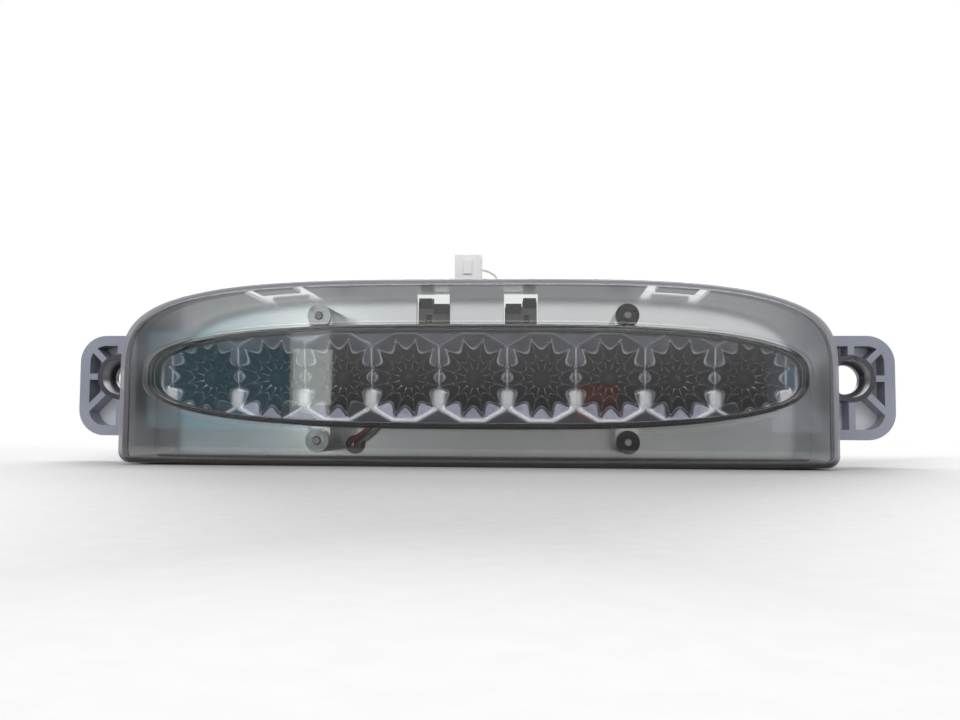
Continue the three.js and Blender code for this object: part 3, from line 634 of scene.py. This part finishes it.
def cup_edge(index, half):
    """The closed edge of one cup's share of the oval, anticlockwise from its lower right corner:
    straight lines where it meets its neighbours and the oval elsewhere."""
    middle = (index - (CUP_COUNT - 1) / 2) * CUP_PITCH
    left, right = middle - CUP_PITCH / 2, middle + CUP_PITCH / 2
    n = SIDE_STEPS

    def line(x, down):
        reach = oval_height(x, half)
        z = np.linspace(-reach, reach, n, endpoint=False)
        z = -z if down else z
        return np.stack([np.full(n, x), z], -1)

    def tip(side):
        turn = np.linspace(0, 1, n, endpoint=False)
        inner = abs(left if side < 0 else right)
        low = math.acos((inner / half[0]) ** (WINDOW_POWER / 2))
        angle = low * (2 * turn - 1)
        x = side * half[0] * np.cos(angle) ** (2 / WINDOW_POWER)
        z = side * half[1] * np.sign(angle) * np.abs(np.sin(angle)) ** (2 / WINDOW_POWER)
        return np.stack([x, z], -1)

    right_side = tip(1) if index == CUP_COUNT - 1 else line(right, False)
    left_side = tip(-1) if index == 0 else line(left, True)
    upper = oval_arc(right, left, 1, half, n)
    lower = oval_arc(left, right, -1, half, n)
    return middle, np.concatenate([right_side, upper, left_side, lower])


def bell(distance, width, power=2):
    """1 at no distance, falling away as exp(-(distance / width)^power)."""
    return np.exp(-(distance / width) ** power)


def cup_surface(x, z):
    """Depth of a cup's face behind its mouth, a painted highlight that is strongest near an edge, and a
    painted shade that is strongest far in. A shallow cone falls in from the twelve-cornered mouth.
    Twelve petals start along a curve that swings between two radii and bend down to the hole as a
    power curve, with a slight kink half way, and the deeper of cone and petal is the face that is
    there, plus a small bell curve that softens where they cross. The highlight on the mouth's edge
    counts most in the lower half, where light from above falls, and so does a painted highlight on a
    leaf (a bell curve across and up) where two cups meet."""
    radius = np.hypot(x, z)
    turn = np.arctan2(z, x)
    step = 2 * math.pi / PETALS
    across = ((turn + step / 2) % step) / step * 2 - 1
    mouth = MOUTH_RADIUS * math.cos(step / 2) / np.cos(across * step / 2)
    cone = (mouth - radius) * CONE_SLOPE
    start = PETAL_START[0] + (PETAL_START[1] - PETAL_START[0]) * np.abs(across) ** PETAL_SWING
    shore = (mouth - start) * CONE_SLOPE
    share = (start - radius) / (start - CUP_HOLE)
    second = SECOND_TIER[0] + (SECOND_TIER[1] - SECOND_TIER[0]) * np.abs(across) ** 2
    kink = KINK_DEPTH * (1 - ((radius - second) / KINK_REACH).clip(-1, 1) ** 2)
    bend = 1 - (1 - share).clip(0) ** BOWL_POWER - kink * (share > 0)
    petal = np.where(share > 0, shore + (CUP_DEPTH - shore) * bend, cone + share * PETAL_LIFT)
    inside = np.maximum(cone, petal) + SOFT_EDGE * bell(cone - petal, 2 * SOFT_EDGE)
    depth = np.where(radius < mouth, inside, 0)

    # Painted highlights along the edges, stronger in the lower half where light from above falls.
    low = (0.5 - z / (10 * MM)).clip(0, 1)
    from_side = CUP_PITCH / 2 - np.abs(x)
    from_groove = (1 - np.abs(across)) * radius * step / 2
    petal_line = (0.85 - 0.35 * low) * bell(start - radius, 0.42 * MM)
    thin_lip = 0.3 * bell(mouth - radius, 0.3 * MM)
    low_lip = 0.95 * low * bell(mouth - radius, 0.55 * MM)
    tier = 0.45 * bell(second - radius, 0.3 * MM)
    side = 0.6 * bell(from_side, 0.3 * MM) * (radius < mouth)
    groove = 0.35 * bell(from_groove, 0.2 * MM) * (radius < start)
    leaf = 0.9 * bell(from_side, LEAF_HALF[0], 4) * bell(z - LEAF_HEIGHT, LEAF_HALF[1], 4) * (radius > start)
    edge = np.maximum.reduce([petal_line, thin_lip, low_lip, tier, side, groove, leaf])
    # Painted shade grows towards the hole.
    shade_inward = ((DEEP_SHADE_RADII[1] - radius) / (DEEP_SHADE_RADII[1] - DEEP_SHADE_RADII[0])).clip(0, 1)
    return depth.clip(0, CUP_DEPTH), edge, shade_inward


def reflector_piece():
    """Each cup is a grid: rays run from its hole to every point of its edge. A rim wall stands
    forward round the whole oval and turns back behind it. Point attributes tell where painted
    highlights lie along the facets' edges and the rim wall's front, and where painted shade makes
    the film darker far in the cups and on the rim wall."""
    half = (REFLECTOR_HALF[0] - REFLECTOR_RIM, REFLECTOR_HALF[1] - REFLECTOR_RIM)
    shares = np.linspace(0, 1, CUP_ROWS) ** ROW_SPREAD
    parts = []
    edges = []
    deep_shades = []
    for index in range(CUP_COUNT):
        middle, border = cup_edge(index, half)
        local = border - [middle, 0]
        length = np.linalg.norm(local, axis=1, keepdims=True)
        reach = CUP_HOLE + (length - CUP_HOLE) * shares[:, None, None]
        x, z = np.moveaxis(local / length * reach, -1, 0)
        depth, edge, shade_inward = cup_surface(x, z)
        points = np.stack([x + middle, CUP_FRONT + depth, WINDOW_CENTRE + z], -1)
        parts.append((points.reshape(-1, 3), [grid_faces(CUP_ROWS, len(border))]))
        edges.append(edge.reshape(-1))
        deep_shades.append(shade_inward.reshape(-1))
    points, faces = gather(parts)
    front = REFLECTOR_BOX[0].y
    rounded = 0.15 * MM
    section = (
        (0, CUP_FRONT, 0), (0, front + rounded, 0), (rounded, front, WALL_TOP_GLINT),
        (REFLECTOR_RIM - rounded, front, WALL_TOP_GLINT), (REFLECTOR_RIM, front + rounded, 0),
        (REFLECTOR_RIM, CUP_FRONT + 1 * MM, 0),
    )
    wall = [at_depth(window_ring(0, [size + grow for size in half]), y) for grow, y, _ in section]
    faces.append(grid_faces(len(wall), RING_POINTS, len(points)))
    points = np.concatenate([points, np.asarray(wall).reshape(-1, 3)])
    piece = put_mesh("faceted_reflector", points, faces, REFLECTOR_ANGLE)
    # Painted highlight on the rim wall's front.
    lip_glint = np.repeat([pale for _, _, pale in section], RING_POINTS)
    for name, values in (("edge", [*edges, lip_glint]), ("deep_shade", [*deep_shades, np.ones(len(lip_glint))])):
        layer = piece.data.attributes.new(name, "FLOAT", "POINT")
        layer.data.foreach_set("value", np.concatenate(values).astype(np.float32))
    return settle(piece, mirror_film(), "mirror_reflector", "reflector")


# ------------------------------------------------------------------ diodes
DOME_RADIUS = 2.5 * MM
DIODE_LENGTH = 8.6 * MM
FLANGE_RADIUS = 2.9 * MM
FLANGE_HEIGHT = 1.0 * MM
LEG_SIDE = 0.5 * MM
LEG_PITCH = 2.54 * MM


def led_pieces():
    """A bullet turned about its axis: a half-round dome, a straight side, a flange at its foot and
    two square legs through the board."""
    resin = clear_resin()
    for number in range(1, CUP_COUNT + 1):
        low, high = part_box(f"led_{number}")
        x = (low.x + high.x) / 2
        tip = low.y
        dome = [
            (DOME_RADIUS * math.sin(a), tip + DOME_RADIUS * (1 - math.cos(a)))
            for a in np.linspace(0.04, math.pi / 2, 14)
        ]
        base = tip + DIODE_LENGTH
        flange = base - FLANGE_HEIGHT
        profile = dome + [
            (DOME_RADIUS, flange - 0.15 * MM), (DOME_RADIUS + 0.1 * MM, flange),
            (FLANGE_RADIUS - 0.05 * MM, flange), (FLANGE_RADIUS, flange + 0.1 * MM),
            (FLANGE_RADIUS, base), (0.1 * MM, base),
        ]
        body = turned(profile, x, WINDOW_CENTRE, 40)
        root = base - 0.2 * MM
        legs = [leg(x + side * LEG_PITCH / 2, WINDOW_CENTRE, root, high.y) for side in SIDES]
        points, faces = gather([body, *legs])
        settle(put_mesh(f"led_lamp_{number}", points, faces), resin, "clear_resin", f"led_{number}")


def leg(x, z, start, end):
    """A square bar along Y, its corners anticlockwise from the lower right."""
    half = LEG_SIDE / 2
    across, up = np.array([(half, -half), (half, half), (-half, half), (-half, -half)]).T
    return closed_rings([at_depth((x + across, z + up), y) for y in (start, end)])


# ------------------------------------------------------------------ the lamp
def lamp():
    """Every piece: three that are computed here, and the rest as finished copies of the CAD's."""
    lens_pieces()
    reflector_piece()
    led_pieces()
    chrome = metallised_plastic()
    refined("housing_tray", chrome, "metallised_tray", 0.3 * MM)
    bead = moulded("adhesive bead", (0.30, 0.30, 0.33), (0.38, 0.38, 0.42), 0.5)
    refined("lens_bead", bead, "adhesive", 0.1 * MM)
    cover = moulded("cover plastic", (0.33, 0.325, 0.31), (0.36, 0.355, 0.34), 0.45)
    refined("rear_cover", cover, "cover_plastic", 0.3 * MM)
    steel = moulded("screw steel", (0.52, 0.52, 0.50), (0.66, 0.66, 0.64), 0.3, metallic=1.0)
    for number in range(1, 5):
        refined(f"cover_screw_{number}", steel, "screw_steel", 0.12 * MM)
    spring = moulded("spring steel", (0.03, 0.03, 0.03), (0.06, 0.058, 0.055), 0.3, metallic=0.7)
    for side in ("left", "right"):
        refined(f"spring_clip_{side}", spring, "spring_steel", 0.15 * MM)
    board = moulded("circuit board", (0.012, 0.06, 0.03), (0.018, 0.08, 0.04), 0.35, coat=0.5)
    refined("led_board", board, "circuit_board", 0.15 * MM)
    resistor = moulded("resistor body", (0.50, 0.38, 0.22), (0.60, 0.46, 0.28), 0.4)
    for number in range(1, 4):
        refined(f"resistor_{number}", resistor, "resistor_body", 0.15 * MM)
    black_body = moulded("rectifier body", (0.02, 0.02, 0.02), (0.035, 0.035, 0.035), 0.4)
    refined("rectifier", black_body, "rectifier_body", 0.15 * MM)
    nylon = moulded("connector nylon", (0.90, 0.90, 0.87), (0.95, 0.95, 0.92), 0.4)
    refined("connector_housing", nylon, "connector_nylon", 0.2 * MM)
    brass = moulded("terminal brass", (0.62, 0.46, 0.18), (0.74, 0.57, 0.26), 0.28, metallic=1.0)
    for number in (1, 2):
        refined(f"terminal_{number}", brass, "terminal_brass", 0.1 * MM)
    rubber = moulded("grommet rubber", (0.02, 0.02, 0.02), (0.03, 0.03, 0.03), 0.6)
    refined("cable_grommet", rubber, "grommet_rubber", 0.15 * MM)
    red = moulded("red wire", (0.42, 0.015, 0.012), (0.55, 0.025, 0.018), 0.38)
    refined("lead_red", red, "red_wire", 0.05 * MM, ROUND_ANGLE)
    white = moulded("white wire", (0.72, 0.72, 0.70), (0.82, 0.82, 0.80), 0.38)
    refined("lead_white", white, "white_wire", 0.05 * MM, ROUND_ANGLE)


# ------------------------------------------------------------------ studio
SHADE_CENTRE = 0.012
FLOOR_GAP = 0.05 * MM
FLOOR_FRONT = -0.33
FLOOR_BACK = 6
FLOOR_REACH = 4
CARD_HEIGHTS = (-0.02, 0.108)
CAMERA_PLACE = (0.0246, -0.3653, -0.0181)
CAMERA_TURNS = ((3.8, "Z"), (3.93, "X"), (-0.35, "Y"), (90, "X"))
FOCAL_LENGTH = 37.5


def flat_card(name, corners, finish, seen=True):
    """A four-cornered stage piece, hidden from the camera where it is not to be seen."""
    piece = put_mesh(name, np.asarray(corners, float), [np.array([[0, 1, 2, 3]])])
    piece.data.materials.append(finish)
    piece.visible_camera = seen


def front_card(name, x, z, tint, strength, y=-1.0):
    """An upright glowing card that faces the lamp from behind the camera and shows only in its
    gloss."""
    finish = Finish(name.replace("_", " "))
    light = finish.signal("Emission", 0, {"Color": colour(*tint), "Strength": strength})
    corners = [(x[0], y, z[0]), (x[1], y, z[0]), (x[1], y, z[1]), (x[0], y, z[1])]
    flat_card(name, corners, finish.done(light), False)


def area_light(name, energy, size, place, target):
    """A rectangular light at a place, aimed at a target."""
    data = bpy.data.lights.new(name, "AREA")
    data.shape = "RECTANGLE"
    data.size, data.size_y = size
    data.energy = energy
    light = bpy.data.objects.new(name, data)
    bpy.context.scene.collection.objects.link(light)
    way = (Vector(target) - Vector(place)).to_track_quat("-Z", "Y").to_matrix().to_4x4()
    light.matrix_world = Matrix.Translation(place) @ way


def paper_floor():
    """Pale paper with a grey shade in front of the lamp that narrows towards the front, and plain
    white further away."""
    finish = Finish("floor")
    x, y, _ = finish.place()
    away = ((x * x + y * y) ** 0.5).over(0.2, 0.55)
    shade_half_width = y * 0.4 + 0.118
    beside = (abs(x - SHADE_CENTRE) - shade_half_width).over(-0.02, 0.06)
    ahead = y.over(-0.32, -0.23, 1, 0)
    behind = y.over(0.0, 0.2)
    paper = finish.noise(260, 5.0)
    grain = paper.over(0.2, 0.8)
    shaded = grain.blend(grey(0.54), grey(0.58))
    lit = grain.blend(grey(0.86), grey(0.90))
    surface = finish.shader(
        base_color=beside.greatest(ahead).greatest(behind).blend(shaded, lit),
        roughness=0.9,
        normal=finish.bump(paper, 0.1, 0.3 * MM),
    )
    white = finish.signal("Emission", 0, {"Color": grey(1.0), "Strength": 1.0})
    mixed = finish.signal("MixShader", 0, {0: away, 1: surface, 2: white})
    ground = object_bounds()[0].z - FLOOR_GAP
    corners = [
        (-FLOOR_REACH, FLOOR_FRONT, ground), (FLOOR_REACH, FLOOR_FRONT, ground),
        (FLOOR_REACH, FLOOR_BACK, ground), (-FLOOR_REACH, FLOOR_BACK, ground),
    ]
    flat_card("floor", corners, finish.done(mixed))


def dome():
    """The world: white to the camera, and otherwise dim low in front, brightest a little way up,
    dimmer overhead and half bright behind."""
    world = bpy.data.worlds.new("studio dome")
    bpy.context.scene.world = world
    finish = Finish("studio dome", world)
    ray = finish.signal("TexCoord", "Generated", {})
    y, z = [finish.signal("SeparateXYZ", axis, {0: ray}) for axis in (1, 2)]
    front = z.over(-0.03, 0.12, 0.36, 1.0) * z.over(0.25, 0.6, 1.0, 0.3)
    behind = y.over(-0.2, 0.2)
    level = front * (1 - behind) + behind * 0.5
    seen = finish.signal("LightPath", "Is Camera Ray", {})
    strength = level * (1 - seen) + seen
    sky = finish.signal("Background", 0, {"Color": grey(1.0), "Strength": strength})
    finish.node("OutputWorld", {"Surface": sky})


def studio():
    """The floor, the dome, soft lights above and behind, and front cards that give the lens and the
    metal film something to reflect."""
    paper_floor()
    front_card("window_strip", (-0.309, -0.256), CARD_HEIGHTS, (0.93, 1.0, 0.98), 4.0)
    front_card("blue_wall", (-0.5, -0.312), CARD_HEIGHTS, (0.5, 0.85, 1.0), 0.9)
    front_card("side_light", (0.31, 0.37), CARD_HEIGHTS, (0.88, 0.9, 1.0), 1.1)
    front_card("warm_patch", (0.0615, 0.1194), (-0.007, 0.038), (1.0, 0.55, 0.48), 0.9)
    front_card("dark_door", (-0.52, -0.46), (-0.3, 0.7), (0.3, 0.34, 0.36), 0.12, -1.01)
    front_card("ceiling_light", (-0.35, 0.35), (0.22, 0.42), (1.0, 1.0, 1.0), 3.6, -0.5)
    dome()
    area_light("high key", 5, (1.2, 0.6), (0.1, 0.35, 1.0), (0, -0.05, 0))
    area_light("low key", 9, (1.6, 0.5), (0.0, 1.3, 0.62), (0, -0.1, 0))


def camera():
    """A view from just below the lamp's middle, turned and tipped up a few degrees."""
    data = bpy.data.cameras.new("camera")
    data.lens = FOCAL_LENGTH
    data.sensor_width = 36
    data.clip_start = 0.01
    view = bpy.data.objects.new("camera", data)
    bpy.context.scene.collection.objects.link(view)
    aim = Matrix.Translation(CAMERA_PLACE)
    for degrees, axis in CAMERA_TURNS:
        aim = aim @ Matrix.Rotation(math.radians(degrees), 4, axis)
    view.matrix_world = aim
    bpy.context.scene.camera = view


lamp()
studio()
camera()
bpy.context.scene.view_settings.view_transform = "Standard"
